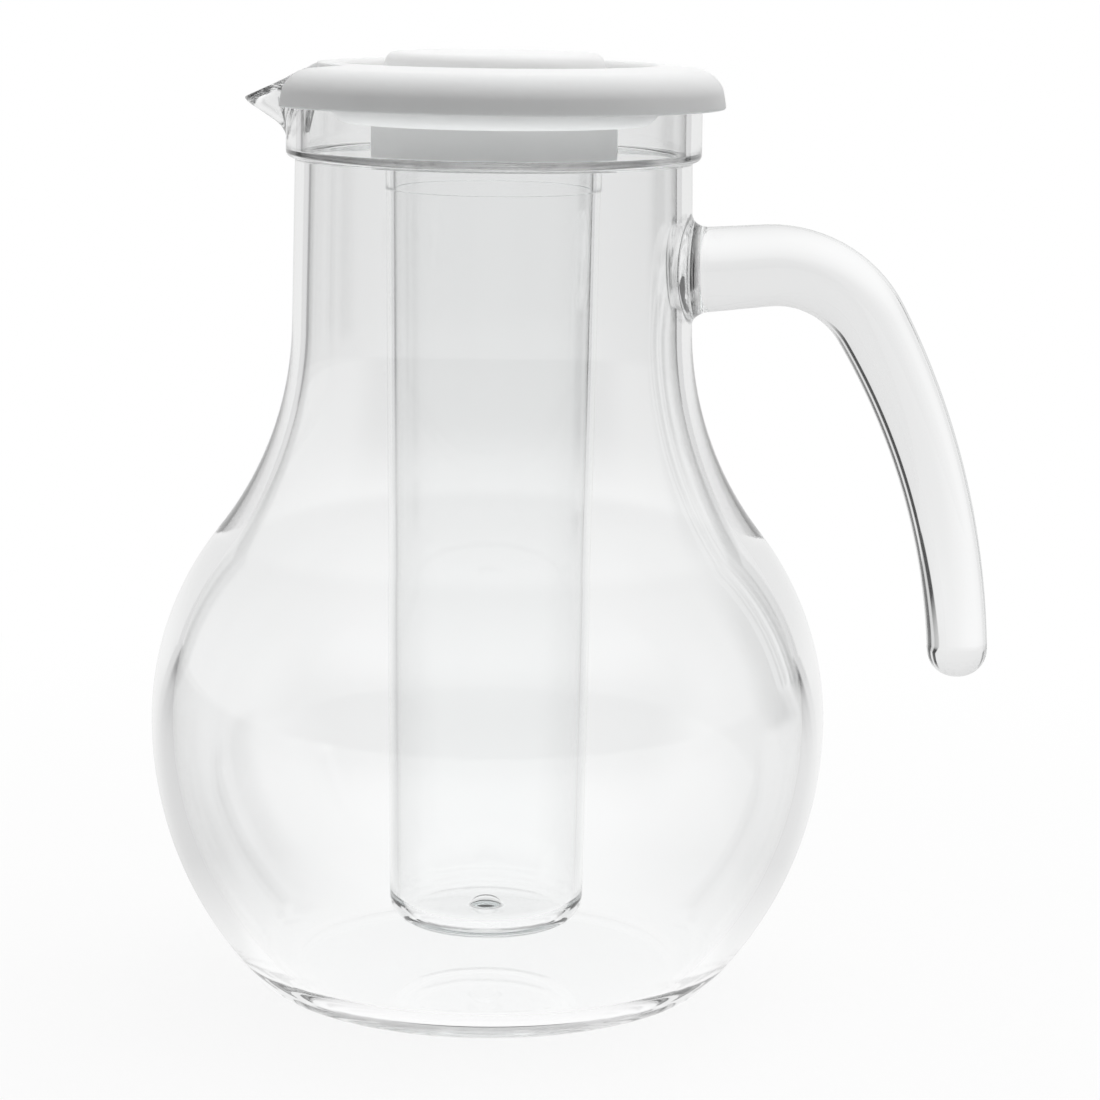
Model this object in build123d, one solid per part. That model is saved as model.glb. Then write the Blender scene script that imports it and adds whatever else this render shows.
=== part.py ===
# Pitcher with an ice core: a clear jug with a bonded handle, a lid, and a tube for ice screwed under the lid.
# Millimetres and degrees. The origin is the centre of the base, +Z is up and the spout points along -X.
import math
import os
from build123d import *

# Jug, outside
bulb_r = 80.3
bulb_z = 64.9
crown_r = 72.6
foot_corner_r = 52.1
foot_round = 13.8
neck_r = 47.0
neck_z = 160.5
neck_taper = 0.6
rim_z = 218.0
rim_round = 1.0
collar_h = 19.8
collar_step = 2.1
collar_round = 1.6

# Jug, wall
bulb_wall = 5.0
neck_wall = 3.8
collar_wall = 3.8
floor_t = 5.6
floor_round = 16.0
ledge_rise = 1.6
ledge_round = 0.8

# Spout
spout_drop = 13.8
spout_slope = 36.0
spout_wall = 2.2
spout_half_w = 19.0
spout_nose_r = 12.0
spout_root_h = 2.7
spout_root_half_w = 7.0
spout_root_nose_r = 4.0
spout_bury = 8.7
lip_inset = 3.0
lip_slope = 25.0

# Handle
handle_drop = 45.4
handle_tilt = 4.7
handle_lead_len = 15.3
bend_r = 26.2
bend_turn = 65.0
grip_r = 176.0
grip_turn = 26.5
tail_len = 7.2
root_d = 20.2
bend_d = 17.7
grip_d = 15.4
tail_d = 14.3
tail_round = 6.2

# Handle joint
boss_rise = 2.6
boss_lip = 0.8
boss_flare = 3.0
boss_depth = 6.0
flare_len = 2.4
spigot_r = 5.0
spigot_len = 3.0
bond_gap = 0.1

# Lid
lid_wall = 1.8
brim_gap = 3.7
brim_drop = 7.5
brim_lean = 1.4
brim_fall = 1.6
brim_round = 6.6
brim_under_round = 3.0
plate_t = 2.6
crest_round = 1.5
knob_r = 25.6
knob_rise = 2.2
knob_round = 2.6
knob_wall = 2.4
knob_foot_round = 1.5
trough_w = 11.4
trough_depth = 12.3
trough_round = 3.0
hub_wall = 1.7
hub_len = 10.9
notch_side_gap = 4.5
notch_shelf = 2.5

# Seal between the tube's rim and the lid
seal_t = 2.0
seal_inset = 0.1
seal_lap = 0.4

# Ice tube
tube_top_r = 25.3
tube_draft = 1.8
tube_step = 0.2
tube_mouth_len = 13.2
tube_lift = 9.7
tube_wall = 2.1
tube_floor_t = 3.0
tube_round = 5.6
tube_in_round = 4.2
nub_r = 4.0
nub_h = 2.6

# Screw thread between tube and lid
pitch = 4.0
thread_turns = 1.0
thread_room = 1.8
thread_bite = 0.5
tube_thread_h = 1.1
lid_thread_h = 1.2
thread_root_w = 1.9
thread_crest_w = 1.0
thread_top_gap = 0.8

# Radii and heights that follow from the sizes above
neck_top_r = neck_r - neck_taper
collar_r = neck_top_r + collar_step
collar_in_r = collar_r - collar_wall
collar_z = rim_z - collar_h
belly_r = ((bulb_r - foot_corner_r) ** 2 + bulb_z**2) / (2 * (bulb_r - foot_corner_r))
handle_z = rim_z - handle_drop
boss_x = neck_top_r + boss_rise
boss_face_r = root_d / 2 + boss_lip
crest_z = rim_z + plate_t
knob_z = crest_z + knob_rise
knob_in_r = knob_r - knob_wall
trough_r = knob_r + trough_w
trough_out_r = trough_r + lid_wall
trough_z = crest_z - trough_depth
lid_floor_z = trough_z - lid_wall
lid_r = collar_r + brim_gap + lid_wall
hub_in_r = tube_top_r + thread_room
hub_r = hub_in_r + hub_wall
tube_rim_z = lid_floor_z - seal_t
tube_z = floor_t + tube_lift
tube_mouth_r = tube_top_r - tube_step
tube_low_r = tube_mouth_r - tube_draft
tube_in_r = tube_top_r - tube_wall
thread_z = tube_rim_z - thread_top_gap - thread_root_w / 2 - pitch * thread_turns

MIN = (Align.CENTER, Align.CENTER, Align.MIN)


def side(wide_r, crown, belly, base_z, corner_round, top_r):
    # Half outline from the floor's centre to the foot of the neck: floor, corner, belly, crown and shoulder.
    belly_x = wide_r - belly
    flat_r = belly_x + math.sqrt((belly - corner_round) ** 2 - (bulb_z - base_z - corner_round) ** 2)
    low = math.degrees(math.atan2(base_z + corner_round - bulb_z, flat_r - belly_x))
    crown_x = wide_r - crown
    reach = top_r - crown_x
    hollow = (reach**2 + (neck_z - bulb_z) ** 2 - crown**2) / (2 * (crown - reach))
    high = math.degrees(math.atan2(neck_z - bulb_z, top_r + hollow - crown_x))
    return [
        Line((0, base_z), (flat_r, base_z)),
        CenterArc((flat_r, base_z + corner_round), corner_round, -90, 90 + low),
        CenterArc((belly_x, bulb_z), belly, low, -low),
        CenterArc((crown_x, bulb_z), crown, 0, high),
        CenterArc((top_r + hollow, neck_z), hollow, 180 + high, -high),
    ]


def chain(points):
    return [Line(a, b) for a, b in zip(points, points[1:])]


def turned(edges, rounds=()):
    # A closed half outline, drawn as radius and height, with corners rounded, turned into a solid about Z.
    face = make_face(edges)
    for point, radius in rounds:
        corner = face.vertices().sort_by_distance(point)[0]
        face = fillet(corner, radius)
    return revolve(Plane.XZ * face, Axis.Z)


def along_x(x, shape):
    # A shape drawn upwards from its own origin, laid along +X at the handle's height.
    return Pos(x, 0, handle_z) * Rot(0, 90, 0) * shape


def spout_outline(z, nose_x, half_w, nose_r):
    # Level outline of the spout: two sides from inside the collar, running to a round nose.
    back_x = spout_bury - collar_r
    centre_x = nose_x + nose_r
    gap = math.hypot(back_x - centre_x, half_w)
    turn = math.atan2(half_w, back_x - centre_x) + math.acos(nose_r / gap)
    touch = (centre_x + nose_r * math.cos(turn), nose_r * math.sin(turn))
    mirror = (touch[0], -touch[1])
    edges = [
        Line((back_x, half_w), touch),
        ThreePointArc(touch, (nose_x, 0), mirror),
        Line(mirror, (back_x, -half_w)),
        Line((back_x, -half_w), (back_x, half_w)),
    ]
    return Pos(0, 0, z) * make_face(edges)


def spout_body(rise, inset):
    # Lofted solid under the lip. It is raised and narrowed by the wall for the channel inside.
    root_z = rim_z - spout_drop - spout_root_h
    fall = math.tan(math.radians(spout_slope))
    root_x = spout_root_h / fall - collar_r
    nose_x = root_x - (rim_z - root_z) / fall
    root = spout_outline(root_z + rise, root_x, spout_root_half_w - inset, spout_root_nose_r - inset / 2)
    top = spout_outline(rim_z + rise, nose_x, spout_half_w - inset, spout_nose_r - inset / 2)
    return loft([root, top])


def ridge(root_r, height, low_z):
    # One thread ridge: a blunt tooth swept along a right-hand helix, its root sunk into the wall.
    # A negative height points inwards.
    path = Pos(0, 0, low_z) * Helix(pitch, pitch * thread_turns, root_r)
    sunk = root_r - math.copysign(thread_bite, height)
    tooth = make_face(chain([
        (sunk, -thread_root_w / 2),
        (sunk, thread_root_w / 2),
        (root_r, thread_root_w / 2),
        (root_r + height, thread_crest_w / 2),
        (root_r + height, -thread_crest_w / 2),
        (root_r, -thread_root_w / 2),
        (sunk, -thread_root_w / 2),
    ]))
    return sweep(Pos(0, 0, low_z) * (Plane.XZ * tooth), path=path, is_frenet=True)


# Jug: outer solid
outer = side(bulb_r, crown_r, belly_r, 0, foot_round, neck_r)
outer += chain([
    (neck_r, neck_z),
    (neck_top_r, collar_z),
    (collar_r, collar_z),
    (collar_r, rim_z),
    (0, rim_z),
    (0, 0),
])
jug = turned(outer, [((collar_r, collar_z), collar_round), ((collar_r, rim_z), rim_round)])

# Jug: spout and the boss for the handle
jug += spout_body(0, 0)
boss = Cone(boss_face_r + boss_flare, boss_face_r, boss_depth, align=MIN)
jug += along_x(boss_x - boss_depth, boss)

# Jug: hollow, with the ledge where the wall steps out into the collar
ledge_z = collar_z + ledge_rise
neck_in_r = neck_top_r - neck_wall
neck_low_r = neck_r - neck_wall
inner = side(bulb_r - bulb_wall, crown_r - bulb_wall, belly_r - bulb_wall, floor_t, floor_round, neck_low_r)
inner += chain([
    (neck_low_r, neck_z),
    (neck_in_r, ledge_z),
    (collar_in_r, ledge_z),
    (collar_in_r, rim_z + collar_h),
    (0, rim_z + collar_h),
    (0, floor_t),
])
jug -= turned(inner, [((neck_in_r, ledge_z), ledge_round), ((collar_in_r, ledge_z), ledge_round)])

# Jug: pouring channel, the lip that falls away from the rim, and the handle's socket
jug -= spout_body(spout_wall / math.cos(math.radians(spout_slope)), spout_wall)
above_lip = Box(collar_r, 2 * bulb_r, collar_h, align=(Align.MAX, Align.CENTER, Align.MIN))
jug -= Pos(lip_inset - collar_r, 0, rim_z) * Rot(0, -lip_slope, 0) * above_lip
socket = Cylinder(spigot_r + bond_gap, spigot_len + bond_gap, align=MIN)
jug -= along_x(boss_x - spigot_len - bond_gap, socket)

# Handle: a tapering rod swept along a line, a bend, a long curve and a short tail
lead = PolarLine((boss_x - spigot_len, handle_z), handle_lead_len + spigot_len, handle_tilt)
bend = JernArc(lead @ 1, lead % 1, bend_r, -bend_turn)
grip = JernArc(bend @ 1, bend % 1, grip_r, -grip_turn)
tail = Line(grip @ 1, grip @ 1 + (grip % 1) * tail_len)
spine = Plane.XZ * Wire([lead.edge(), bend.edge(), grip.edge(), tail.edge()])
stops = [(0.0, root_d), (0.34, bend_d), (0.68, grip_d), (1.0, tail_d)]
rings = [Plane(spine @ t, z_dir=spine % t) * Circle(d / 2) for t, d in stops]
handle = sweep(rings, path=spine, multisection=True)
handle = fillet(handle.edges().sort_by(Axis.Z)[0], tail_round)
behind_boss = Box(boss_x, boss_x, boss_x, align=(Align.MAX, Align.CENTER, Align.CENTER))
handle -= Pos(boss_x, 0, handle_z) * behind_boss
handle += along_x(boss_x, Cone(boss_face_r, root_d / 2, flare_len, align=MIN))
handle += along_x(boss_x - spigot_len, Cylinder(spigot_r, spigot_len, align=MIN))

# Lid: one turned shell with the knob in a finger trough, the brim over the rim and the hub for the tube
brim_knee = (lid_r - brim_lean, crest_z - brim_fall)
brim_corner = (lid_r - brim_lean - lid_wall, rim_z)
lid_edges = chain([
    (0, knob_z),
    (knob_r, knob_z),
    (knob_r, trough_z),
    (trough_r, trough_z),
    (trough_r, crest_z),
    brim_knee,
    (lid_r, rim_z - brim_drop),
    (lid_r - lid_wall, rim_z - brim_drop),
    brim_corner,
    (trough_out_r, rim_z),
    (trough_out_r, lid_floor_z),
    (hub_r, lid_floor_z),
    (hub_r, lid_floor_z - hub_len),
    (hub_in_r, lid_floor_z - hub_len),
    (hub_in_r, lid_floor_z),
    (knob_in_r, lid_floor_z),
    (knob_in_r, knob_z - knob_wall),
    (0, knob_z - knob_wall),
    (0, knob_z),
])
lid_rounds = [
    ((knob_r, knob_z), knob_round),
    ((knob_r, trough_z), knob_foot_round),
    ((trough_r, trough_z), trough_round),
    ((trough_r, crest_z), crest_round),
    (brim_knee, brim_round),
    (brim_corner, brim_under_round),
    ((trough_out_r, lid_floor_z), trough_round + lid_wall),
]
lid = turned(lid_edges, lid_rounds)

# Lid: pour notch through the brim above the spout, and the inner thread half a pitch below the tube's
notch = Box(lid_r, 2 * (spout_half_w + notch_side_gap), lid_r, align=(Align.MAX, Align.CENTER, Align.CENTER))
notch -= Cylinder(trough_out_r + notch_shelf, 2 * lid_r)
lid -= Pos(0, 0, rim_z) * notch
lid += ridge(hub_in_r, -lid_thread_h, thread_z - pitch / 2)

# Seal: a flat ring on the tube's rim
seal_face = Circle(tube_top_r + seal_lap) - Circle(tube_in_r + seal_inset)
seal = Pos(0, 0, tube_rim_z) * extrude(seal_face, seal_t)

# Ice tube: a tapering closed tube with a plain mouth, a small dome on its floor and the outer thread
mouth_z = tube_rim_z - tube_mouth_len
tube_out = chain([
    (0, tube_z),
    (tube_low_r, tube_z),
    (tube_mouth_r, mouth_z),
    (tube_top_r, mouth_z),
    (tube_top_r, tube_rim_z),
    (0, tube_rim_z),
    (0, tube_z),
])
tube = turned(tube_out, [((tube_low_r, tube_z), tube_round)])
well_z = tube_z + tube_floor_t
tube_in = chain([
    (0, well_z),
    (tube_low_r - tube_wall, well_z),
    (tube_in_r, tube_rim_z),
    (tube_in_r, tube_rim_z + seal_t),
    (0, tube_rim_z + seal_t),
    (0, well_z),
])
tube -= turned(tube_in, [((tube_low_r - tube_wall, well_z), tube_in_round)])
nub_ball = (nub_r**2 + nub_h**2) / (2 * nub_h)
nub = Pos(0, 0, well_z + nub_h - nub_ball) * Sphere(nub_ball)
tube += nub & Pos(0, 0, tube_z + tube_floor_t / 2) * Cylinder(nub_ball, nub_ball + nub_h, align=MIN)
tube += ridge(tube_top_r, tube_thread_h, thread_z)

os.makedirs("parts", exist_ok=True)
nodes = {"jug": jug, "handle": handle, "lid": lid, "core_seal": seal, "ice_tube": tube}
for node, shape in nodes.items():
    export_step(shape, f"parts/{node}.step")
    print(node, len(shape.solids()), round(shape.volume), shape.is_valid)
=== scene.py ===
# %% [markdown]
# # Pitcher with an ice core
# This lesson builds a clear pitcher: a bulb-shaped jug with a pouring spout and a bonded hook handle, a
# white lid with a round knob, and a clear tube for ice that screws under the lid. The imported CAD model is
# the frame. Its boxes give the outer sizes, most other sizes follow the CAD's, and each piece made here
# rides on one of its moving bodies, so the lid still lifts and the tube still unscrews.

# %% Load the frame
import functools
import math

import bmesh
import bpy
from mathutils import Matrix, Vector


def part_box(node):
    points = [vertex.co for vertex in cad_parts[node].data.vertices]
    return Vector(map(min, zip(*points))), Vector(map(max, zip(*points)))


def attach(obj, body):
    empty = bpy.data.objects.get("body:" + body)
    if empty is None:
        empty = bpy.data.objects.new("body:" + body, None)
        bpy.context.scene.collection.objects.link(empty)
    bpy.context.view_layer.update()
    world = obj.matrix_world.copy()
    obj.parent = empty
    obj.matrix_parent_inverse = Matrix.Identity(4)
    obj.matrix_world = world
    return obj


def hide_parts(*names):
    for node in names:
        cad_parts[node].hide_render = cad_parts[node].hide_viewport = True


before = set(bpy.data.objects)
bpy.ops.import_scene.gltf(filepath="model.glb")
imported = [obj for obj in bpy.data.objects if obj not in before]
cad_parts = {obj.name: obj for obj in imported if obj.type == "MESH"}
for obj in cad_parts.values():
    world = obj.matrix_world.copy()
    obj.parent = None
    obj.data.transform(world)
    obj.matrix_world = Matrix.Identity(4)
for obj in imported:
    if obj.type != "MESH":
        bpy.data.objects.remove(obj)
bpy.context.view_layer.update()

# %% [markdown]
# ## A pen for half outlines
# Jug, lid and tube are all round about one upright axis, as if turned on a lathe. They could be built from
# cylinders and Booleans, but glass shows every seam, so each one is drawn as a single half outline and
# spun. The pen is one vertex: extruding it draws a straight line, and spinning it about a point draws an
# arc.

# %% Pen for half outlines
MERGE_GAP = 2e-6


def start_outline(name, radius, height):
    """A new object of one selected vertex, left in edit mode."""
    bpy.ops.object.select_all(action="DESELECT")
    bpy.ops.mesh.primitive_plane_add(size=0.01)
    piece = bpy.context.object
    piece.name = piece.data.name = name
    bpy.ops.object.mode_set(mode="EDIT")
    bpy.ops.mesh.select_mode(type="VERT")
    bpy.ops.mesh.merge(type="CENTER")
    bpy.ops.transform.translate(value=(radius, 0, height))
    return piece


def edit_mesh():
    """The active object's mesh, as edit mode sees it."""
    return bmesh.from_edit_mesh(bpy.context.object.data)


def line_to(radius, height, parts=1):
    """Draws on to a point in a straight line, in equal parts."""
    pen = next(vertex.co for vertex in edit_mesh().verts if vertex.select)
    step = (Vector((radius, 0, height)) - pen) / parts
    for _ in range(parts):
        bpy.ops.mesh.extrude_vertices_move(TRANSFORM_OT_translate={"value": step})


def arc_about(radius, height, degrees, parts):
    """Draws on in an arc about a point, anticlockwise where degrees are positive."""
    bpy.ops.mesh.spin(steps=parts, angle=math.radians(degrees), center=(radius, 0, height), axis=(0, 1, 0))


def round_corner(radius, height, round_r, parts=6):
    """Rounds the corner of the outline that lies nearest to a point."""
    bpy.ops.mesh.select_all(action="DESELECT")
    outline = edit_mesh()
    place = Vector((radius, 0, height))
    corner = min(outline.verts, key=lambda vertex: (vertex.co - place).length)
    one, other = (edge.other_vert(corner).co - corner.co for edge in corner.link_edges)
    corner.select_set(True)
    bmesh.update_edit_mesh(bpy.context.object.data)
    reach = round_r / math.tan(one.angle(other) / 2)
    bpy.ops.mesh.bevel(offset=reach, segments=parts, affect="VERTICES")


def turn_outline(steps):
    """Spins the outline once round Z, closes the seam, points all faces outwards and leaves edit mode."""
    bpy.ops.mesh.select_all(action="SELECT")
    bpy.ops.mesh.spin(steps=steps, angle=2 * math.pi, center=(0, 0, 0), axis=(0, 0, 1))
    bpy.ops.mesh.select_all(action="SELECT")
    bpy.ops.mesh.remove_doubles(threshold=MERGE_GAP)
    bpy.ops.mesh.normals_make_consistent(inside=False)
    bpy.ops.object.mode_set(mode="OBJECT")


def smooth(piece, degrees=32):
    """Shades a piece smooth, apart from edges sharper than that angle. Large faces keep their direction."""
    bpy.ops.object.select_all(action="DESELECT")
    piece.select_set(True)
    bpy.context.view_layer.objects.active = piece
    bpy.ops.object.shade_smooth_by_angle(angle=math.radians(degrees))
    weigh = piece.modifiers.new("weigh_normals", "WEIGHTED_NORMAL")
    weigh.weight = 90
    weigh.keep_sharp = True
    bpy.ops.object.modifier_apply(modifier=weigh.name)


def tell(piece):
    """Prints how big a piece has become."""
    low = [min(v.co[i] for v in piece.data.vertices) for i in range(3)]
    high = [max(v.co[i] for v in piece.data.vertices) for i in range(3)]
    spans = ", ".join(f"{1000 * a:.1f} to {1000 * b:.1f}" for a, b in zip(low, high))
    print(f"{piece.name}: {len(piece.data.polygons)} faces, x y z in mm: {spans}")


# %% [markdown]
# ## The jug's wall
# The real jug is one clear moulding: a bulb, a long hollow shoulder, a straight neck and a stepped collar.
# A Solidify modifier could give a sheet its wall, but the real wall is thick in the bulb and thinner in the
# neck, so outside and inside are both drawn, in one line from the base up over the rim and down to the
# floor inside.

# %% Sizes of the jug
jug_low, jug_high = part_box("jug")
rim_z = jug_high.z
bulb_r = jug_high.y
bulb_z = 0.0649
crown_r = 0.0726
foot_corner_r = 0.0521
foot_round = 0.0138
belly_r = ((bulb_r - foot_corner_r) ** 2 + bulb_z**2) / (2 * (bulb_r - foot_corner_r))
neck_r = 0.0470
neck_z = 0.1605
neck_top_r = 0.0464
collar_r = 0.0485
collar_z = rim_z - 0.0198
bulb_wall = 0.0050
neck_wall = 0.0038
collar_in_r = collar_r - neck_wall
neck_in_r = neck_top_r - neck_wall
ledge_z = collar_z + 0.0016
floor_t = 0.0056
floor_round = 0.0160
edge_gap, low_edge_gap = 0.0018, 0.0025
print("bulb and collar across mm", round(2000 * bulb_r, 1), round(2000 * collar_r, 1))


def wall_arcs(wide_r, crown, belly, base_z, corner_round, top_r):
    """Edge of the flat floor, and the four arcs above it: centre radius, centre height, degrees, parts."""
    belly_x = wide_r - belly
    flat_r = belly_x + math.sqrt((belly - corner_round) ** 2 - (bulb_z - base_z - corner_round) ** 2)
    low = math.degrees(math.atan2(base_z + corner_round - bulb_z, flat_r - belly_x))
    crown_x = wide_r - crown
    reach = top_r - crown_x
    hollow = (reach**2 + (neck_z - bulb_z) ** 2 - crown**2) / (2 * (crown - reach))
    high = math.degrees(math.atan2(neck_z - bulb_z, top_r + hollow - crown_x))
    return flat_r, [
        (flat_r, base_z + corner_round, 90 + low, 32),
        (belly_x, bulb_z, -low, 28),
        (crown_x, bulb_z, high, 36),
        (top_r + hollow, neck_z, -high, 36),
    ]


# %% Draw the jug's outside
jug = start_outline("jug_wall", 0, 0)
foot_r, outer_arcs = wall_arcs(bulb_r, crown_r, belly_r, 0, foot_round, neck_r)
line_to(foot_r, 0, 2)
for centre_r, centre_z, degrees, parts in outer_arcs:
    arc_about(centre_r, centre_z, degrees, parts)
line_to(neck_top_r, collar_z, 6)
line_to(collar_r, collar_z)
line_to(collar_r, collar_z + low_edge_gap)
line_to(collar_r, rim_z - edge_gap, 16)
line_to(collar_r, rim_z)
print("points on the outside:", len(edit_mesh().verts))

# %% Draw the jug's inside
line_to(collar_in_r, rim_z)
line_to(collar_in_r, rim_z - edge_gap)
line_to(collar_in_r, ledge_z + edge_gap, 14)
line_to(collar_in_r, ledge_z)
line_to(neck_in_r, ledge_z)
line_to(neck_r - neck_wall, neck_z, 6)
floor_r, inner_arcs = wall_arcs(
    bulb_r - bulb_wall, crown_r - bulb_wall, belly_r - bulb_wall, floor_t, floor_round, neck_r - neck_wall
)
for centre_r, centre_z, degrees, parts in reversed(inner_arcs):
    arc_about(centre_r, centre_z, -degrees, parts)
line_to(0, floor_t, 2)
print("points with the inside:", len(edit_mesh().verts))

# %% Round the jug's corners and spin it
round_corner(collar_r, collar_z, 0.0016)
round_corner(neck_top_r, collar_z, 0.0005, 4)
round_corner(collar_r, rim_z, 0.0017, 8)
round_corner(collar_in_r, rim_z, 0.0016, 8)
round_corner(collar_in_r, ledge_z, 0.0006, 4)
round_corner(neck_in_r, ledge_z, 0.0008, 4)
turn_outline(240)
tell(jug)

# %% [markdown]
# ## The spout
# On the real jug the collar is pulled out to one side into a spout, with no seam. A Boolean would leave a
# hard edge where collar and spout meet, so the vertices of the collar are pushed out instead, as a sculptor
# would. First the columns of vertices are slid round the axis so that they crowd together at the spout.
# Then each one moves out to the spout's outline at its own height, and the rim is lowered along the sloping
# lip. The wall starts steeper than its mean slope and flares out towards the lip.

# %% Sizes of the spout
spout_slope = math.radians(36)
spout_start, spout_flare = 0.82, 22
spout_wall = 0.0022
spout_rise = spout_wall / math.cos(spout_slope)
spout_half_w, spout_root_half_w = 0.0205, 0.0075
spout_nose_r, spout_root_nose_r = 0.0140, 0.0045
spout_h, spout_root_h = 0.0138, 0.0027
spout_depth, lip_depth = 0.0087, 0.0030
spout_root_z = rim_z - spout_h - spout_root_h
spout_root_x = spout_root_h / math.tan(spout_slope) - collar_r
spout_back_x = spout_depth - collar_r
lip_x = lip_depth - collar_r
lip_fall = math.tan(math.radians(25))
blend_w = 0.0030
SPOUT_TURN = math.pi / 3
CROWDING = 0.6


def spout_reach(turn, height, inset, rise):
    """Distance from the axis to the spout's level outline, in the direction turned that far away from -X."""
    climb = height - rise - spout_root_z
    share = climb / (rim_z - spout_root_z)
    half_w = spout_root_half_w + share * (spout_half_w - spout_root_half_w) - inset
    nose_r = spout_root_nose_r + share * (spout_nose_r - spout_root_nose_r) - inset / 2
    centre_x = spout_root_x - climb * (spout_start + spout_flare * climb) / math.tan(spout_slope) + nose_r
    side = math.atan2(half_w, spout_back_x - centre_x)
    side += math.acos(nose_r / math.hypot(spout_back_x - centre_x, half_w))
    way_x, way_y = -math.cos(turn), math.sin(turn)
    along = way_x * centre_x
    room = along**2 - centre_x**2 + nose_r**2
    if room > 0:
        reach = along + math.sqrt(room)
        if reach * way_x <= centre_x + nose_r * math.cos(side):
            return reach
    return (math.cos(side) * centre_x + nose_r) / (math.cos(side) * way_x + math.sin(side) * way_y)


def wall_reach(turn, height, plain_r, inset, rise):
    """The larger of the collar's radius and the spout's reach, with a soft change between them."""
    if height <= spout_root_z + rise:
        return plain_r
    reach = spout_reach(turn, height, inset, rise)
    near = max(blend_w - abs(reach - plain_r), 0) / blend_w
    return max(reach, plain_r) + near**2 * blend_w / 4


def wall_at(turn, height, share_in):
    """Distance from the axis to the wall's outside (share 0), its inside (share 1) or between them."""
    outside = wall_reach(turn, height, collar_r, 0, 0)
    return outside + share_in * (wall_reach(turn, height, collar_in_r, spout_wall, spout_rise) - outside)


@functools.cache
def lip_height(turn, share_in):
    """Height at which that layer of the wall meets the sloping lip."""
    height = rim_z
    for _ in range(40):
        x = -wall_at(turn, height, share_in) * math.cos(turn)
        height = (height + rim_z - max(lip_x - x, 0) * lip_fall) / 2
    return height


print("spout from mm", round(1000 * spout_root_z, 1), "to its tip at", round(1000 * lip_height(0, 0), 1))

# %% Push the spout out of the collar
for vertex in jug.data.vertices:
    radius, angle = math.hypot(vertex.co.x, vertex.co.y), math.atan2(vertex.co.y, vertex.co.x)
    angle += CROWDING * math.sin(angle)
    turn = round(math.pi - abs(angle), 5)
    height = vertex.co.z
    share_in = round((collar_r - radius) / (collar_r - collar_in_r), 4)
    low_z = spout_root_z + share_in * spout_rise
    if height > low_z and turn < SPOUT_TURN:
        share_up = (height - low_z) / (rim_z - low_z)
        height = low_z + share_up * (lip_height(turn, share_in) - low_z)
        radius = wall_at(turn, height, share_in)
    vertex.co = (radius * math.cos(angle), radius * math.sin(angle), height)
jug.data.update()
tell(jug)

# %% [markdown]
# The lip of the real spout is as round as a bead. Smoothing the vertices along it takes the sharpness out
# of its edges and of the tip, and leaves the rest of the wall as it is.

# %% Round the lip
LIP_ROWS_H, LIP_FROM_X = 0.0030, -0.0462


def pick(kind, test):
    """Selects only those vertices, edges or faces of the edited mesh that pass a test."""
    bpy.ops.mesh.select_all(action="DESELECT")
    bpy.ops.mesh.select_mode(type=kind)
    mesh = edit_mesh()
    for part in {"VERT": mesh.verts, "EDGE": mesh.edges, "FACE": mesh.faces}[kind]:
        if test(part):
            part.select_set(True)
    bmesh.update_edit_mesh(bpy.context.object.data)


def on_lip(vertex):
    """True for the top rows of the spout's wall, outside and inside."""
    lip_z = rim_z - max(lip_x - vertex.co.x, 0) * lip_fall
    return vertex.co.x < LIP_FROM_X and vertex.co.z > lip_z - LIP_ROWS_H


bpy.ops.object.mode_set(mode="EDIT")
pick("VERT", on_lip)
bpy.ops.mesh.vertices_smooth(factor=0.5, repeat=30)
bpy.ops.object.mode_set(mode="OBJECT")
smooth(jug)
tell(jug)

# %% [markdown]
# ## The handle
# The handle is a solid clear rod, bonded to the neck by a flared foot, that bends over and tapers to a
# rounded free end. A bevelled curve could carry it, but a mesh ring that is extruded, turned and scaled
# step by step gives control of the taper and of the foot, which has to lie close on the round neck.

# %% Sizes of the handle
handle_z = rim_z - 0.0454
lead_x = 0.0460
lead_len, tail_len = 0.0183, 0.0072
tilt = math.radians(4.7)
bend_r, bend_turn = 0.0262, math.radians(65)
grip_r, grip_turn = 0.1760, math.radians(26.5)
rod_len = lead_len + bend_r * bend_turn + grip_r * grip_turn + tail_len
rod_d_at = {0.0: 0.0202, 0.34: 0.0177, 0.68: 0.0154, 1.0: 0.0143}
tail_round = 0.0066
RING = 72


def rod_spot(length):
    """Centre of the rod and its heading, that far along it."""
    place, heading = Vector((lead_x, 0, handle_z)), tilt
    runs = ((lead_len, 0), (bend_r * bend_turn, bend_r), (grip_r * grip_turn, grip_r), (tail_len, 0))
    for run, curve_r in runs:
        part = min(length, run)
        turn = part / curve_r if curve_r else 0
        chord = 2 * curve_r * math.sin(turn / 2) if curve_r else part
        way = heading - turn / 2
        place = place + Vector((math.cos(way), 0, math.sin(way))) * chord
        heading -= turn
        length -= part
    return place, heading


def rod_r(length):
    """Radius of the rod that far along it, on a smooth curve through the four measured diameters."""
    share = length / rod_len
    diameter = 0
    for at, size in rod_d_at.items():
        for other in rod_d_at:
            if other != at:
                size *= (share - other) / (at - other)
        diameter += size
    return diameter / 2


# %% Extrude the rod ring by ring
foot_len = 0.0052
spot, heading = rod_spot(foot_len)
ring_r = rod_r(foot_len)
bpy.ops.object.select_all(action="DESELECT")
facing = (0, math.pi / 2 - heading, 0)
bpy.ops.mesh.primitive_circle_add(vertices=RING, radius=ring_r, location=spot, rotation=facing)
bpy.ops.object.transform_apply(location=True, rotation=True, scale=True)
handle = bpy.context.object
handle.name = handle.data.name = "handle_rod"
bpy.ops.object.mode_set(mode="EDIT")
bpy.ops.mesh.select_all(action="SELECT")


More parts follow.
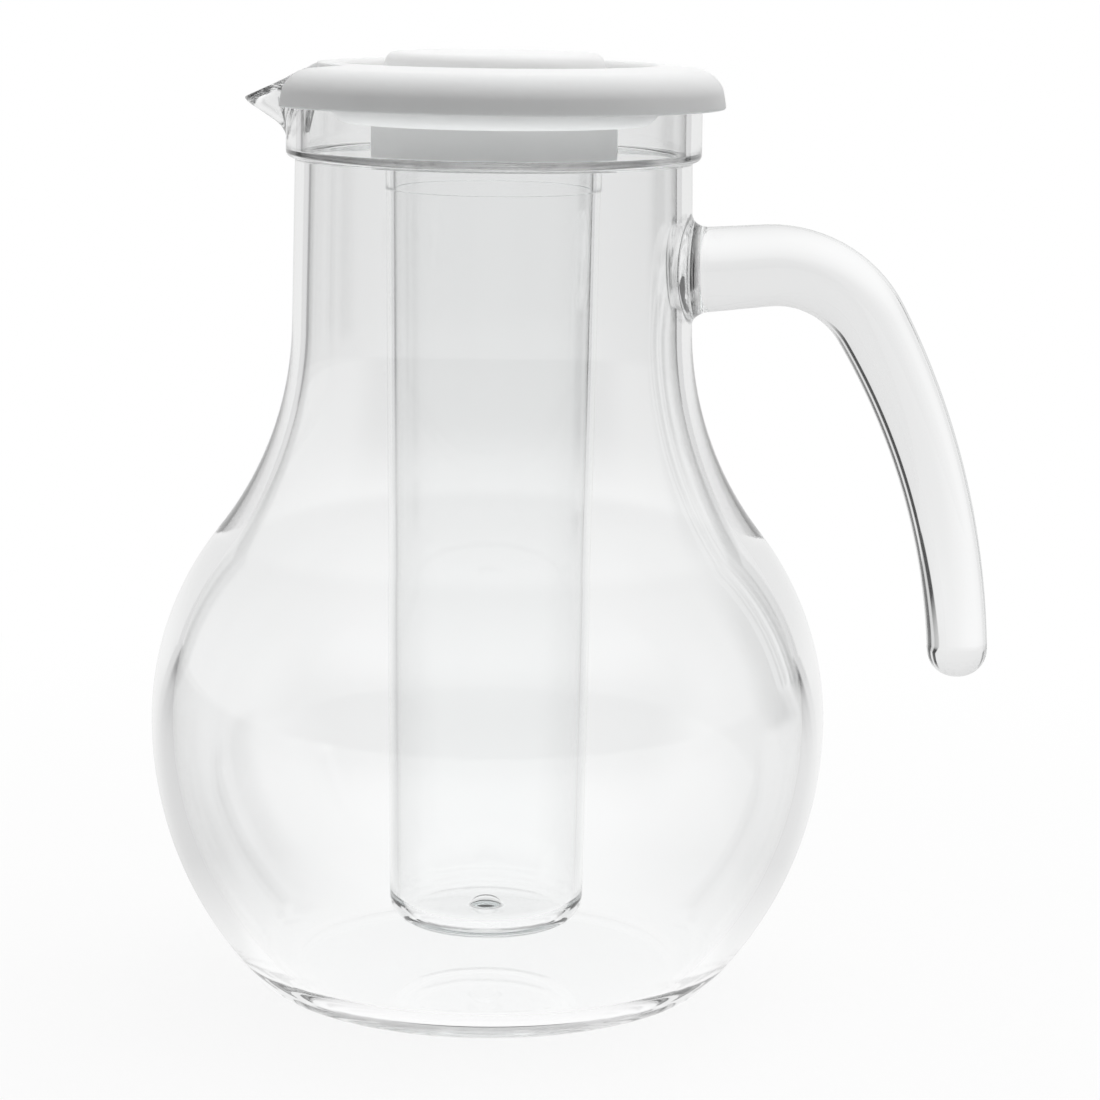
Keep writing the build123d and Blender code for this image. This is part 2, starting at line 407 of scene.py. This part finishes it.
def ring_on(new_spot, new_heading, new_r):
    """Extrudes the selected ring on to the next place along the rod."""
    global spot, heading, ring_r
    bpy.ops.mesh.extrude_region_move(TRANSFORM_OT_translate={"value": new_spot - spot})
    bpy.ops.transform.rotate(value=new_heading - heading, orient_axis="Y", center_override=new_spot)
    scale = new_r / ring_r
    bpy.ops.transform.resize(value=(scale, scale, scale), center_override=new_spot)
    spot, heading, ring_r = new_spot, new_heading, new_r


straight_end = rod_len - tail_round
ROD_STEPS = 64
for step in range(1, ROD_STEPS + 1):
    length = foot_len + (straight_end - foot_len) * step / ROD_STEPS
    ring_on(*rod_spot(length), rod_r(length))
end_r = ring_r
END_STEPS = 10
for step in range(1, END_STEPS + 1):
    turn = math.pi / 2 * step / END_STEPS
    ring_on(*rod_spot(straight_end + tail_round * math.sin(turn)), end_r - tail_round * (1 - math.cos(turn)))
ring_on(spot, heading, ring_r / 2)
bpy.ops.mesh.extrude_region_move()
bpy.ops.mesh.merge(type="CENTER")
print("rod length mm", round(1000 * rod_len, 1), "ends at", [round(1000 * c, 1) for c in spot])

# %% [markdown]
# The foot spreads out in a soft hollow until it lies on the neck. Its rings can't stay flat, because the
# neck is round, so each vertex is set to the neck's own surface. The last rings close the foot just inside
# the neck's wall: the two clear pieces then overlap by a hair, and light passes as through one bonded
# piece.

# %% Spread the foot on to the neck
FOOT_SPREAD = 0.0030
FOOT_SINK = 0.00012
FOOT_STEPS, CAP_STEPS = 10, 5
RING_GAP, RING_LEAN = 1e-5, 0.001


def neck_x(y, z, sink):
    """How far out the neck's surface lies at that place, less a little sink."""
    share = (z - neck_z) / (collar_z - neck_z)
    return math.sqrt((neck_r + share * (neck_top_r - neck_r) - sink) ** 2 - y**2)


root_spot, root_heading = rod_spot(foot_len)
root_r = rod_r(foot_len)
bpy.ops.mesh.select_all(action="DESELECT")
for vertex in edit_mesh().verts:
    on_ring = abs((vertex.co - root_spot).length - root_r) < RING_GAP
    vertex.select_set(on_ring and vertex.co.x < root_spot.x + RING_LEAN)
edit_mesh().select_flush(True)
bmesh.update_edit_mesh(handle.data)
rings = []
for step in range(1, FOOT_STEPS + 1):
    swing = math.pi / 2 * step / FOOT_STEPS
    rings.append((root_r + FOOT_SPREAD * (1 - math.cos(swing)), math.sin(swing), 0))
for step in range(CAP_STEPS, 0, -1):
    rings.append(((root_r + FOOT_SPREAD) * step / (CAP_STEPS + 1), 1, FOOT_SINK))
for spread_r, share, sink in rings:
    bpy.ops.mesh.extrude_region_move()
    for vertex in edit_mesh().verts:
        if vertex.select:
            clock = math.atan2(vertex.co.z - root_spot.z, vertex.co.y)
            y, z = spread_r * math.cos(clock), root_spot.z + spread_r * math.sin(clock)
            rod_x = root_spot.x - math.tan(root_heading) * (z - root_spot.z)
            vertex.co = (rod_x + share * (neck_x(y, z, sink) - rod_x), y, z)
    bmesh.update_edit_mesh(handle.data)
bpy.ops.mesh.extrude_region_move()
bpy.ops.mesh.merge(type="CENTER")
bpy.ops.mesh.select_all(action="SELECT")
bpy.ops.mesh.normals_make_consistent(inside=False)
bpy.ops.object.mode_set(mode="OBJECT")
smooth(handle, 60)
tell(handle)

# %% [markdown]
# ## The lid
# The lid is one white moulding: a brim over the rim, a finger trough, a low round knob, and a hub below
# that holds the tube. It is turned from one outline, like the jug, and the pour notch is cut afterwards.
# The hub ends a little higher than in the CAD model, at the height where the photograph shows its lower
# edge.

# %% Sizes of the lid
_, lid_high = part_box("lid")
lid_r = lid_high.y
knob_z = lid_high.z
lid_wall = 0.0018
crest_z = rim_z + 0.0026
knob_r, knob_wall = 0.0256, 0.0024
trough_r, trough_z = 0.0370, crest_z - 0.0123
trough_out_r = trough_r + lid_wall
lid_floor_z = trough_z - lid_wall
hub_z = lid_floor_z - 0.0100
brim_z = rim_z - 0.0075
knee_r, knee_z = lid_r - 0.0014, crest_z - 0.0016
hub_in_r = 0.0271
hub_r = hub_in_r + 0.0017
notch_r = trough_out_r + 0.0025
notch_half_w = 0.0235
notch_top_z = crest_z - (crest_z - knee_z) * (notch_r - trough_r) / (knee_r - trough_r)
print("lid across mm", round(2000 * lid_r, 1), "knob top mm", round(1000 * knob_z, 1))

# %% Draw and spin the lid
lid = start_outline("lid_shell", 0, knob_z)
for point in (
    (knob_r, knob_z), (knob_r, trough_z), (trough_r, trough_z), (trough_r, crest_z),
    (notch_r, notch_top_z), (knee_r, knee_z), (lid_r, brim_z), (lid_r - lid_wall, brim_z),
    (knee_r - lid_wall, rim_z), (notch_r, rim_z), (trough_out_r, rim_z), (trough_out_r, lid_floor_z),
    (hub_r, lid_floor_z), (hub_r, hub_z), (hub_in_r, hub_z), (hub_in_r, lid_floor_z),
    (knob_r - knob_wall, lid_floor_z), (knob_r - knob_wall, knob_z - knob_wall), (0, knob_z - knob_wall),
):
    line_to(*point)
for corner_r, corner_z, round_r, parts in (
    (knob_r, knob_z, 0.0026, 8), (knob_r, trough_z, 0.0015, 5), (trough_r, trough_z, 0.0030, 6),
    (trough_r, crest_z, 0.0015, 6), (knee_r, knee_z, 0.0066, 12), (lid_r, brim_z, 0.0006, 4),
    (lid_r - lid_wall, brim_z, 0.0004, 3), (knee_r - lid_wall, rim_z, 0.0030, 6),
    (trough_out_r, rim_z, 0.0006, 4), (trough_out_r, lid_floor_z, 0.0048, 8),
    (hub_r, hub_z, 0.0004, 3), (hub_in_r, hub_z, 0.0004, 3),
    (knob_r - knob_wall, knob_z - knob_wall, 0.0016, 5),
):
    round_corner(corner_r, corner_z, round_r, parts)
turn_outline(192)
tell(lid)

# %% [markdown]
# The notch lets a drink pass under the lid into the spout. A Boolean could cut it, but two bisects and a
# bridge keep the mesh clean: the brim is cut along both sides of the notch, the faces between are deleted,
# the gap at its inner end is bridged and the two ends of the brim are filled.

# %% Cut the pour notch
NOTCH_GAP, UNDER_BRIM = 0.0002, 0.001


def beyond_notch_ring(face):
    """True for faces of the brim on the spout's side, outside the inner end of the notch."""
    middle = face.calc_center_median()
    return middle.x < 0 and middle.xy.length > notch_r - NOTCH_GAP and middle.z > brim_z - UNDER_BRIM


def on_notch_ring(edge):
    """True for open edges along the inner end of the notch."""
    return edge.is_boundary and all(
        abs(v.co.xy.length - notch_r) < NOTCH_GAP and abs(v.co.y) < notch_half_w + MERGE_GAP
        for v in edge.verts
    )


bpy.ops.object.mode_set(mode="EDIT")
for side in (-1, 1):
    pick("FACE", beyond_notch_ring)
    bpy.ops.mesh.bisect(plane_co=(0, side * notch_half_w, 0), plane_no=(0, 1, 0))
pick("FACE", lambda face: beyond_notch_ring(face) and abs(face.calc_center_median().y) < notch_half_w)
bpy.ops.mesh.delete(type="FACE")
pick("EDGE", on_notch_ring)
bpy.ops.mesh.bridge_edge_loops()
pick("EDGE", lambda edge: edge.is_boundary)
bpy.ops.mesh.fill_holes(sides=0)
bpy.ops.mesh.select_all(action="SELECT")
bpy.ops.mesh.normals_make_consistent(inside=False)
open_edges = sum(not edge.is_manifold for edge in edit_mesh().edges)
bpy.ops.object.mode_set(mode="OBJECT")
smooth(lid, 30)
print("open edges on the lid:", open_edges)

# %% [markdown]
# ## The ice tube
# The tube is a long clear cup with a plain mouth, a faint step below it and a small dome in the middle of
# its floor, where the plastic was fed into the mould. It is turned from one outline as well.

# %% Draw and spin the tube
tube_low, tube_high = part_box("ice_tube")
tube_z, tube_rim_z = tube_low.z, tube_high.z
tube_top_r, tube_mouth_r, tube_foot_r = 0.0253, 0.0251, 0.0233
tube_wall = 0.0021
mouth_z = tube_rim_z - 0.0132
well_z = tube_z + 0.0030
nub_r, nub_h = 0.0040, 0.0026
nub_ball = (nub_r**2 + nub_h**2) / (2 * nub_h)

tube = start_outline("ice_tube_wall", 0, tube_z)
line_to(tube_foot_r, tube_z)
line_to(tube_mouth_r, mouth_z, 8)
line_to(tube_top_r, mouth_z)
line_to(tube_top_r, tube_rim_z)
line_to(tube_top_r - tube_wall, tube_rim_z)
line_to(tube_foot_r - tube_wall, well_z, 8)
line_to(nub_r, well_z)
arc_about(0, well_z + nub_h - nub_ball, math.degrees(math.asin(nub_r / nub_ball)), 8)
for corner_r, corner_z, round_r, parts in (
    (tube_foot_r, tube_z, 0.0056, 12), (tube_foot_r - tube_wall, well_z, 0.0042, 10),
    (tube_mouth_r, mouth_z, 0.0002, 3), (tube_top_r, mouth_z, 0.0002, 3), (tube_top_r, tube_rim_z, 0.0005, 4),
    (tube_top_r - tube_wall, tube_rim_z, 0.0005, 4), (nub_r, well_z, 0.0008, 4),
):
    round_corner(corner_r, corner_z, round_r, parts)
turn_outline(160)
smooth(tube)
tell(tube)

# %% [markdown]
# ## Clear plastic
# Jug, handle and tube are clear polished plastic. Real mouldings are never optically perfect: the melt
# leaves broad, very faint waves, and the polish varies a little. One node group makes both patterns from
# the piece's own coordinates, and each material takes as much of them as it needs.

# %% Node group for moulding marks
def new_group(name, inputs, outputs):
    """A node group with named sockets, and its input and output nodes."""
    group = bpy.data.node_groups.new(name, "ShaderNodeTree")
    for label, kind in inputs:
        group.interface.new_socket(label, in_out="INPUT", socket_type=kind)
    for label, kind in outputs:
        group.interface.new_socket(label, in_out="OUTPUT", socket_type=kind)
    return group, group.nodes.new("NodeGroupInput"), group.nodes.new("NodeGroupOutput")


marks, marks_in, marks_out = new_group(
    "moulding_marks",
    (("Place", "NodeSocketVector"), ("Flow Scale", "NodeSocketFloat"), ("Grain Scale", "NodeSocketFloat")),
    (("Flow", "NodeSocketFloat"), ("Grain", "NodeSocketFloat")),
)
for label, detail, stretch in (("Flow", 2, (1, 1, 0.35)), ("Grain", 3, (1, 1, 1))):
    squeeze = marks.nodes.new("ShaderNodeMapping")
    squeeze.inputs["Scale"].default_value = stretch
    noise = marks.nodes.new("ShaderNodeTexNoise")
    noise.inputs["Detail"].default_value = detail
    marks.links.new(marks_in.outputs["Place"], squeeze.inputs["Vector"])
    marks.links.new(squeeze.outputs["Vector"], noise.inputs["Vector"])
    marks.links.new(marks_in.outputs[f"{label} Scale"], noise.inputs["Scale"])
    marks.links.new(noise.outputs["Fac"], marks_out.inputs[label])
print("node group", marks.name, "has", len(marks.nodes), "nodes")


# %% Material helpers
def new_material(name, flow_scale, grain_scale):
    """A material with the moulding marks placed in it, and its main nodes."""
    material = bpy.data.materials.new(name)
    material.use_nodes = True
    tree = material.node_tree
    place = tree.nodes.new("ShaderNodeTexCoord")
    pattern = tree.nodes.new("ShaderNodeGroup")
    pattern.node_tree = marks
    pattern.inputs["Flow Scale"].default_value = flow_scale
    pattern.inputs["Grain Scale"].default_value = grain_scale
    tree.links.new(place.outputs["Object"], pattern.inputs["Place"])
    return material, tree, tree.nodes["Principled BSDF"], pattern


def blend_colour(tree, factor, one, other, target):
    """Mixes two colours by a pattern into a colour socket."""
    mix = tree.nodes.new("ShaderNodeMix")
    mix.data_type = "RGBA"
    mix.inputs["A"].default_value = (*one, 1)
    mix.inputs["B"].default_value = (*other, 1)
    tree.links.new(factor, mix.inputs["Factor"])
    tree.links.new(mix.outputs["Result"], target)


def spread_value(tree, factor, low, high, target):
    """Spreads a pattern's middle range between two values of a number socket."""
    spread = tree.nodes.new("ShaderNodeMapRange")
    spread.inputs["From Min"].default_value = 0.3
    spread.inputs["From Max"].default_value = 0.7
    spread.inputs["To Min"].default_value = low
    spread.inputs["To Max"].default_value = high
    tree.links.new(factor, spread.inputs["Value"])
    tree.links.new(spread.outputs["Result"], target)


def add_bump(tree, height, distance, strength, shader):
    """Feeds a pattern's height to the shader's normal."""
    bump = tree.nodes.new("ShaderNodeBump")
    bump.inputs["Distance"].default_value = distance
    bump.inputs["Strength"].default_value = strength
    tree.links.new(height, bump.inputs["Height"])
    tree.links.new(bump.outputs["Normal"], shader.inputs["Normal"])


def clear_plastic(name, pale, deep):
    """Polished clear plastic. Lamps shine through it, so that it throws only a faint shadow."""
    material, tree, shader, pattern = new_material(name, flow_scale=28, grain_scale=900)
    shader.inputs["Transmission Weight"].default_value = 1
    shader.inputs["IOR"].default_value = 1.49
    blend_colour(tree, pattern.outputs["Flow"], pale, deep, shader.inputs["Base Color"])
    spread_value(tree, pattern.outputs["Grain"], 0.0, 0.02, shader.inputs["Roughness"])
    add_bump(tree, pattern.outputs["Flow"], 0.0002, 0.08, shader)
    light_path = tree.nodes.new("ShaderNodeLightPath")
    see_through = tree.nodes.new("ShaderNodeBsdfTransparent")
    see_through.inputs["Color"].default_value = (0.93, 0.94, 0.94, 1)
    either = tree.nodes.new("ShaderNodeMixShader")
    tree.links.new(light_path.outputs["Is Shadow Ray"], either.inputs["Fac"])
    tree.links.new(shader.outputs["BSDF"], either.inputs[1])
    tree.links.new(see_through.outputs["BSDF"], either.inputs[2])
    tree.links.new(either.outputs["Shader"], tree.nodes["Material Output"].inputs["Surface"])
    return material


jug_plastic = clear_plastic("clear_jug_plastic", (0.996, 0.998, 0.998), (0.986, 0.990, 0.990))
handle_plastic = clear_plastic("clear_handle_plastic", (0.996, 0.998, 0.998), (0.988, 0.992, 0.992))
tube_plastic = clear_plastic("clear_tube_plastic", (0.996, 0.998, 0.998), (0.986, 0.990, 0.990))

# %% [markdown]
# ## White lid and seal
# The lid is satin white plastic with a fine moulded grain. The seal is soft milky rubber, duller than the
# lid.

# %% Lid and seal materials
lid_plastic, tree, shader, pattern = new_material("white_lid_plastic", flow_scale=22, grain_scale=2600)
PALE_WHITE, DEEP_WHITE = (0.955, 0.955, 0.950), (0.935, 0.935, 0.930)
blend_colour(tree, pattern.outputs["Flow"], PALE_WHITE, DEEP_WHITE, shader.inputs["Base Color"])
spread_value(tree, pattern.outputs["Grain"], 0.34, 0.46, shader.inputs["Roughness"])
add_bump(tree, pattern.outputs["Grain"], 0.0001, 0.12, shader)
shader.inputs["Subsurface Weight"].default_value = 1.0
shader.inputs["Subsurface Radius"].default_value = (1.0, 1.0, 1.0)
shader.inputs["Subsurface Scale"].default_value = 0.003

seal_rubber, tree, shader, pattern = new_material("milky_seal_rubber", flow_scale=60, grain_scale=1800)
PALE_MILK, DEEP_MILK = (0.80, 0.81, 0.81), (0.72, 0.73, 0.735)
blend_colour(tree, pattern.outputs["Flow"], PALE_MILK, DEEP_MILK, shader.inputs["Base Color"])
spread_value(tree, pattern.outputs["Grain"], 0.55, 0.7, shader.inputs["Roughness"])
add_bump(tree, pattern.outputs["Grain"], 0.0001, 0.2, shader)
print("materials:", [m.name for m in (jug_plastic, handle_plastic, tube_plastic, lid_plastic, seal_rubber)])

# %% [markdown]
# ## Fitting the pieces to the frame
# Each piece rides on the body that moves it and stands for its CAD node. The seal's CAD shape is already
# right, so its node stays and only gets the new material.

# %% Ride, replace and paint
for piece, body, node, slot, material in (
    (jug, "jug", "jug", "clear_jug", jug_plastic),
    (handle, "jug", "handle", "clear_handle", handle_plastic),
    (lid, "lid", "lid", "white_lid", lid_plastic),
    (tube, "ice_tube", "ice_tube", "clear_tube", tube_plastic),
):
    piece.data.materials.clear()
    piece.data.materials.append(material)
    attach(piece, body)
    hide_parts(node)
    print(piece.name, "rides on", body)
for material_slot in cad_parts["core_seal"].material_slots:
    material_slot.material = seal_rubber

# %% [markdown]
# ## Studio
# The pitcher stands on a plain pale floor in a white studio. Clear plastic shows only what is around it, so
# the surroundings matter more than the lamps. The camera sees plain white, but rays that passed through the
# plastic or were mirrored by it see a floor that gets dimmer far away, and panels round the pitcher. Narrow
# dark gaps between the panels draw the thin lines along the edges of jug and tube, and a dark card at the
# right draws the line along the inside of the handle. The studio in front of the pitcher is dark, which
# draws the rims, the lip and the root of the handle.

# %% Nodes for light levels
def ramp_nodes(tree, value, from_low, from_high, low, high):
    """A smooth change of brightness with a value."""
    ramp = tree.nodes.new("ShaderNodeMapRange")
    ramp.interpolation_type = "SMOOTHSTEP"
    ramp.inputs["From Min"].default_value = from_low
    ramp.inputs["From Max"].default_value = from_high
    ramp.inputs["To Min"].default_value = low
    ramp.inputs["To Max"].default_value = high
    tree.links.new(value, ramp.inputs["Value"])
    return ramp.outputs["Result"]


def math_nodes(tree, operation, *values):
    """One sum on numbers or sockets."""
    node = tree.nodes.new("ShaderNodeMath")
    node.operation = operation
    for socket, value in zip(node.inputs, values):
        if isinstance(value, (int, float)):
            socket.default_value = value
        else:
            tree.links.new(value, socket)
    return node.outputs["Value"]


def level_nodes(tree, factor, one, other):
    """A level between two others."""
    mix = tree.nodes.new("ShaderNodeMix")
    for label, value in (("Factor", factor), ("A", one), ("B", other)):
        if isinstance(value, (int, float)):
            mix.inputs[label].default_value = value
        else:
            tree.links.new(value, mix.inputs[label])
    return mix.outputs["Result"]


def stop_nodes(tree, value, stops, way="LINEAR"):
    """A level that follows a value from stop to stop."""
    first, last = stops[0][0], stops[-1][0]
    ramp = tree.nodes.new("ShaderNodeValToRGB")
    ramp.color_ramp.interpolation = way
    ramp.color_ramp.elements.remove(ramp.color_ramp.elements[0])
    for number, (at, level) in enumerate(stops):
        spot = (at - first) / (last - first)
        stop = ramp.color_ramp.elements.new(spot) if number else ramp.color_ramp.elements[0]
        stop.position = spot
        stop.color = (level, level, level, 1)
    share = math_nodes(tree, "DIVIDE", math_nodes(tree, "SUBTRACT", value, first), last - first)
    tree.links.new(share, ramp.inputs["Fac"])
    return ramp.outputs["Color"]


def ray_nodes(tree):
    """One for rays from the camera, and one for rays that were mirrored or have passed through plastic."""
    light_path = tree.nodes.new("ShaderNodeLightPath")
    kinds = light_path.outputs
    by_plastic = math_nodes(tree, "MAXIMUM", kinds["Is Glossy Ray"], kinds["Is Transmission Ray"])
    return kinds["Is Camera Ray"], by_plastic


# %% [markdown]
# The panels are levels by direction: minus one is left of the pitcher, zero straight behind it and one
# right of it. The wide panels, the two narrow gaps, the dark card and the darker sides of the near floor
# are kept apart, because each of them has its own distances on the floor. A node group works them out for
# floor and world.

# %% Panels round the pitcher
WIDE_PANELS = (
    (-1.0, 0.62), (-0.80, 0.66), (-0.66, 0.88), (-0.60, 1.0), (-0.45, 1.04), (-0.30, 1.0),
    (0.30, 1.0), (0.45, 1.02), (0.64, 1.0), (0.79, 0.80), (1.0, 0.70),
)
GAPS = (
    (-1.0, 1.0), (-0.77, 1.0), (-0.74, 0.40), (-0.66, 0.40), (-0.64, 1.0),
    (0.64, 1.0), (0.66, 0.04), (0.74, 0.04), (0.77, 1.0), (1.0, 1.0),
)
CARD = ((-1.0, 1.0), (0.82, 1.0), (0.85, 0.05), (0.94, 0.05), (0.97, 0.9), (1.0, 0.9))
NEAR_SIDES = (
    (-1.0, 0.75), (-0.64, 0.82), (-0.45, 0.92), (-0.25, 0.98), (-0.12, 1.0),
    (0.12, 1.0), (0.25, 0.98), (0.45, 0.92), (0.64, 0.86), (1.0, 0.80),
)
FRONT_PANEL = 0.7
panels, panels_in, panels_out = new_group(
    "studio_panels",
    (("Place", "NodeSocketVector"),),
    tuple((label, "NodeSocketFloat") for label in ("Wide", "Gaps", "Card", "Near", "Distance")),
)
flat = panels.nodes.new("ShaderNodeVectorMath")
flat.operation = "MULTIPLY"
flat.inputs[1].default_value = (1, 1, 0)
panels.links.new(panels_in.outputs["Place"], flat.inputs[0])
away = panels.nodes.new("ShaderNodeVectorMath")
away.operation = "LENGTH"
panels.links.new(flat.outputs["Vector"], away.inputs[0])
axes = panels.nodes.new("ShaderNodeSeparateXYZ")
panels.links.new(flat.outputs["Vector"], axes.inputs["Vector"])
length = math_nodes(panels, "MAXIMUM", away.outputs["Value"], 0.001)
to_right = math_nodes(panels, "DIVIDE", axes.outputs["X"], length)
at_back = ramp_nodes(panels, math_nodes(panels, "DIVIDE", axes.outputs["Y"], length), -0.3, -0.05, 0, 1)
for label, stops, in_front in (
    ("Wide", WIDE_PANELS, FRONT_PANEL), ("Gaps", GAPS, 1.0), ("Card", CARD, 1.0), ("Near", NEAR_SIDES, 1.0),
):
    level = level_nodes(panels, at_back, in_front, stop_nodes(panels, to_right, stops))
    panels.links.new(level, panels_out.inputs[label])
panels.links.new(away.outputs["Value"], panels_out.inputs["Distance"])


def place_panels(tree, source):
    """The panels in the floor or in the world, and the coordinates that place them."""
    group = tree.nodes.new("ShaderNodeGroup")
    group.node_tree = panels
    place = tree.nodes.new("ShaderNodeTexCoord")
    tree.links.new(place.outputs[source], group.inputs["Place"])
    return group.outputs, place.outputs[source]


# %% [markdown]
# The floor is one flat disc, large enough to reach past the picture. It lies a hair below the jug, because
# a real base has air under it and mirrors the light inside the plastic. Near the pitcher the floor keeps a
# part of its own shading for the shadow.

# %% Floor
FLOOR_R, FLOOR_Z = 6.0, -0.0003
FLOOR_LEVELS = (
    (0.0, 1.0), (0.15, 1.0), (0.31, 0.985), (0.49, 0.935), (0.74, 0.87),
    (1.1, 0.845), (1.4, 0.835), (2.0, 0.825), (3.0, 0.82), (4.0, 0.82),
)
WIDE_GROWTH = ((0.05, 0.0), (0.1, 0.2), (0.2, 0.3), (0.35, 0.45), (0.6, 0.8), (0.8, 1.0))
GAP_GROWTH = ((0.2, 0.0), (0.31, 0.06), (0.49, 0.18), (0.74, 0.45), (1.1, 1.0))
NEAR_GROWTH = ((0.04, 0.0), (0.12, 1.0), (0.45, 1.0), (0.75, 0.0), (0.9, 0.0))
bpy.ops.object.select_all(action="DESELECT")
bpy.ops.mesh.primitive_circle_add(vertices=96, radius=FLOOR_R, fill_type="NGON")
floor = bpy.context.object
floor.name = "studio_floor"
floor.location.z = FLOOR_Z
floor_paint, tree, shader, _ = new_material("floor_paint", flow_scale=6, grain_scale=400)
shader.inputs["Roughness"].default_value = 0.9
shader.inputs["Specular IOR Level"].default_value = 0.0
by_camera, by_plastic = ray_nodes(tree)
around, _ = place_panels(tree, "Object")
distance = around["Distance"]
level = stop_nodes(tree, distance, FLOOR_LEVELS, "CARDINAL")
for label, growth in (
    ("Wide", stop_nodes(tree, distance, WIDE_GROWTH)),
    ("Gaps", stop_nodes(tree, distance, GAP_GROWTH)),
    ("Card", ramp_nodes(tree, distance, 0.5, 0.8, 0, 1)),
    ("Near", stop_nodes(tree, distance, NEAR_GROWTH)),
):
    level = math_nodes(tree, "MULTIPLY", level, level_nodes(tree, growth, 1.0, around[label]))
shade_kept = ramp_nodes(tree, distance, 0.12, 0.45, 0.88, 1.0)
white = tree.nodes.new("ShaderNodeEmission")
tree.links.new(level_nodes(tree, by_camera, level, 1.0), white.inputs["Color"])
blend_colour(tree, by_camera, (0.24, 0.24, 0.24), (0.93, 0.93, 0.93), shader.inputs["Base Color"])
either = tree.nodes.new("ShaderNodeMixShader")
shares = math_nodes(tree, "MAXIMUM", math_nodes(tree, "MULTIPLY", by_camera, shade_kept), by_plastic)
tree.links.new(shares, either.inputs["Fac"])
tree.links.new(shader.outputs["BSDF"], either.inputs[1])
tree.links.new(white.outputs["Emission"], either.inputs[2])
tree.links.new(either.outputs["Shader"], tree.nodes["Material Output"].inputs["Surface"])
floor.data.materials.append(floor_paint)
print("floor radius m", FLOOR_R, "panel stops", sum(map(len, (WIDE_PANELS, GAPS, CARD, NEAR_SIDES))))

# %% [markdown]
# The world is the air of the studio. The camera sees it white, the plastic sees pale air with the gaps, the
# card and the dark front up to some height, and everything else is lit by a softer level, brightest from
# the back.

# %% World
SKY_LEVELS = ((-1.0, 0.82), (0.0, 0.82), (0.25, 0.80), (0.45, 0.78), (0.70, 0.76), (1.0, 0.74))
DARK_FRONT = 0.15
world = bpy.data.worlds.new("white_studio")
bpy.context.scene.world = world
world.use_nodes = True
sky = world.node_tree
around, way = place_panels(sky, "Generated")
axes = sky.nodes.new("ShaderNodeSeparateXYZ")
sky.links.new(way, axes.inputs["Vector"])
level = stop_nodes(sky, axes.outputs["Z"], SKY_LEVELS)
over_panels = ramp_nodes(sky, axes.outputs["Z"], 0.25, 0.6, 0, 1)
dark_front = ramp_nodes(sky, axes.outputs["Y"], -0.45, -0.05, DARK_FRONT, 1)
for panel in (around["Gaps"], around["Card"], dark_front):
    level = math_nodes(sky, "MULTIPLY", level, level_nodes(sky, over_panels, panel, 1.0))
from_back = ramp_nodes(sky, axes.outputs["Y"], -0.3, 0.4, 0.20, 0.70)
lighting = level_nodes(sky, ramp_nodes(sky, axes.outputs["Z"], 0.15, 0.7, 0, 1), from_back, 0.60)
by_camera, by_plastic = ray_nodes(sky)
level = level_nodes(sky, by_camera, level_nodes(sky, by_plastic, lighting, level), 1.0)
sky.links.new(level, sky.nodes["Background"].inputs["Color"])
print("sky stops", len(SKY_LEVELS), "dark front", DARK_FRONT)

# %% [markdown]
# Two soft lamps light the white lid: a wide one above, and a weak one below that stands for the light which
# a clear jug passes up to the underside of its lid.

# %% Soft lamps
def soft_lamp(name, place, aim, size, watts):
    """A round soft lamp that lights the pitcher but doesn't show in its reflections."""
    lamp = bpy.data.objects.new(name, bpy.data.lights.new(name, "AREA"))
    lamp.data.shape = "DISK"
    lamp.data.size = size
    lamp.data.energy = watts
    lamp.location = place
    lamp.rotation_euler = (Vector(aim) - Vector(place)).to_track_quat("-Z", "Y").to_euler()
    lamp.visible_camera = False
    lamp.visible_glossy = False
    lamp.visible_transmission = False
    bpy.context.scene.collection.objects.link(lamp)
    print(name, "gives", watts, "W")


soft_lamp("lamp_above", (0.25, 0.15, 1.3), (0, 0, 0.15), 0.8, 7.0)
soft_lamp("lamp_below", (0, 0, 0.002), (0, 0, 0.2), 0.1, 0.36)

# %% [markdown]
# ## Camera
# The place, tilt and small roll of the camera were worked out from the outlines of bulb, neck, lid and base
# in the photograph. It looks a little down, from a bit under a metre away. Light in clear walls is mirrored
# many times before it gets out, so the limits on its bounces are high.

# %% Camera
camera = bpy.data.objects.new("camera", bpy.data.cameras.new("camera"))
camera.data.lens = 113.24
camera.data.sensor_width = 36
camera.location = (0.01434, -0.812, 0.2473)
tilt_down, roll = math.radians(9.9), math.radians(0.796)
camera.rotation_euler = (
    Matrix.Rotation(math.pi / 2 - tilt_down, 3, "X") @ Matrix.Rotation(roll, 3, "Z")
).to_euler()
bpy.context.scene.collection.objects.link(camera)
scene = bpy.context.scene
scene.camera = camera
scene.view_settings.view_transform = "Standard"
scene.cycles.max_bounces = 64
scene.cycles.transmission_bounces = 40
scene.cycles.glossy_bounces = 40
print("camera at mm", [round(1000 * c) for c in camera.location])
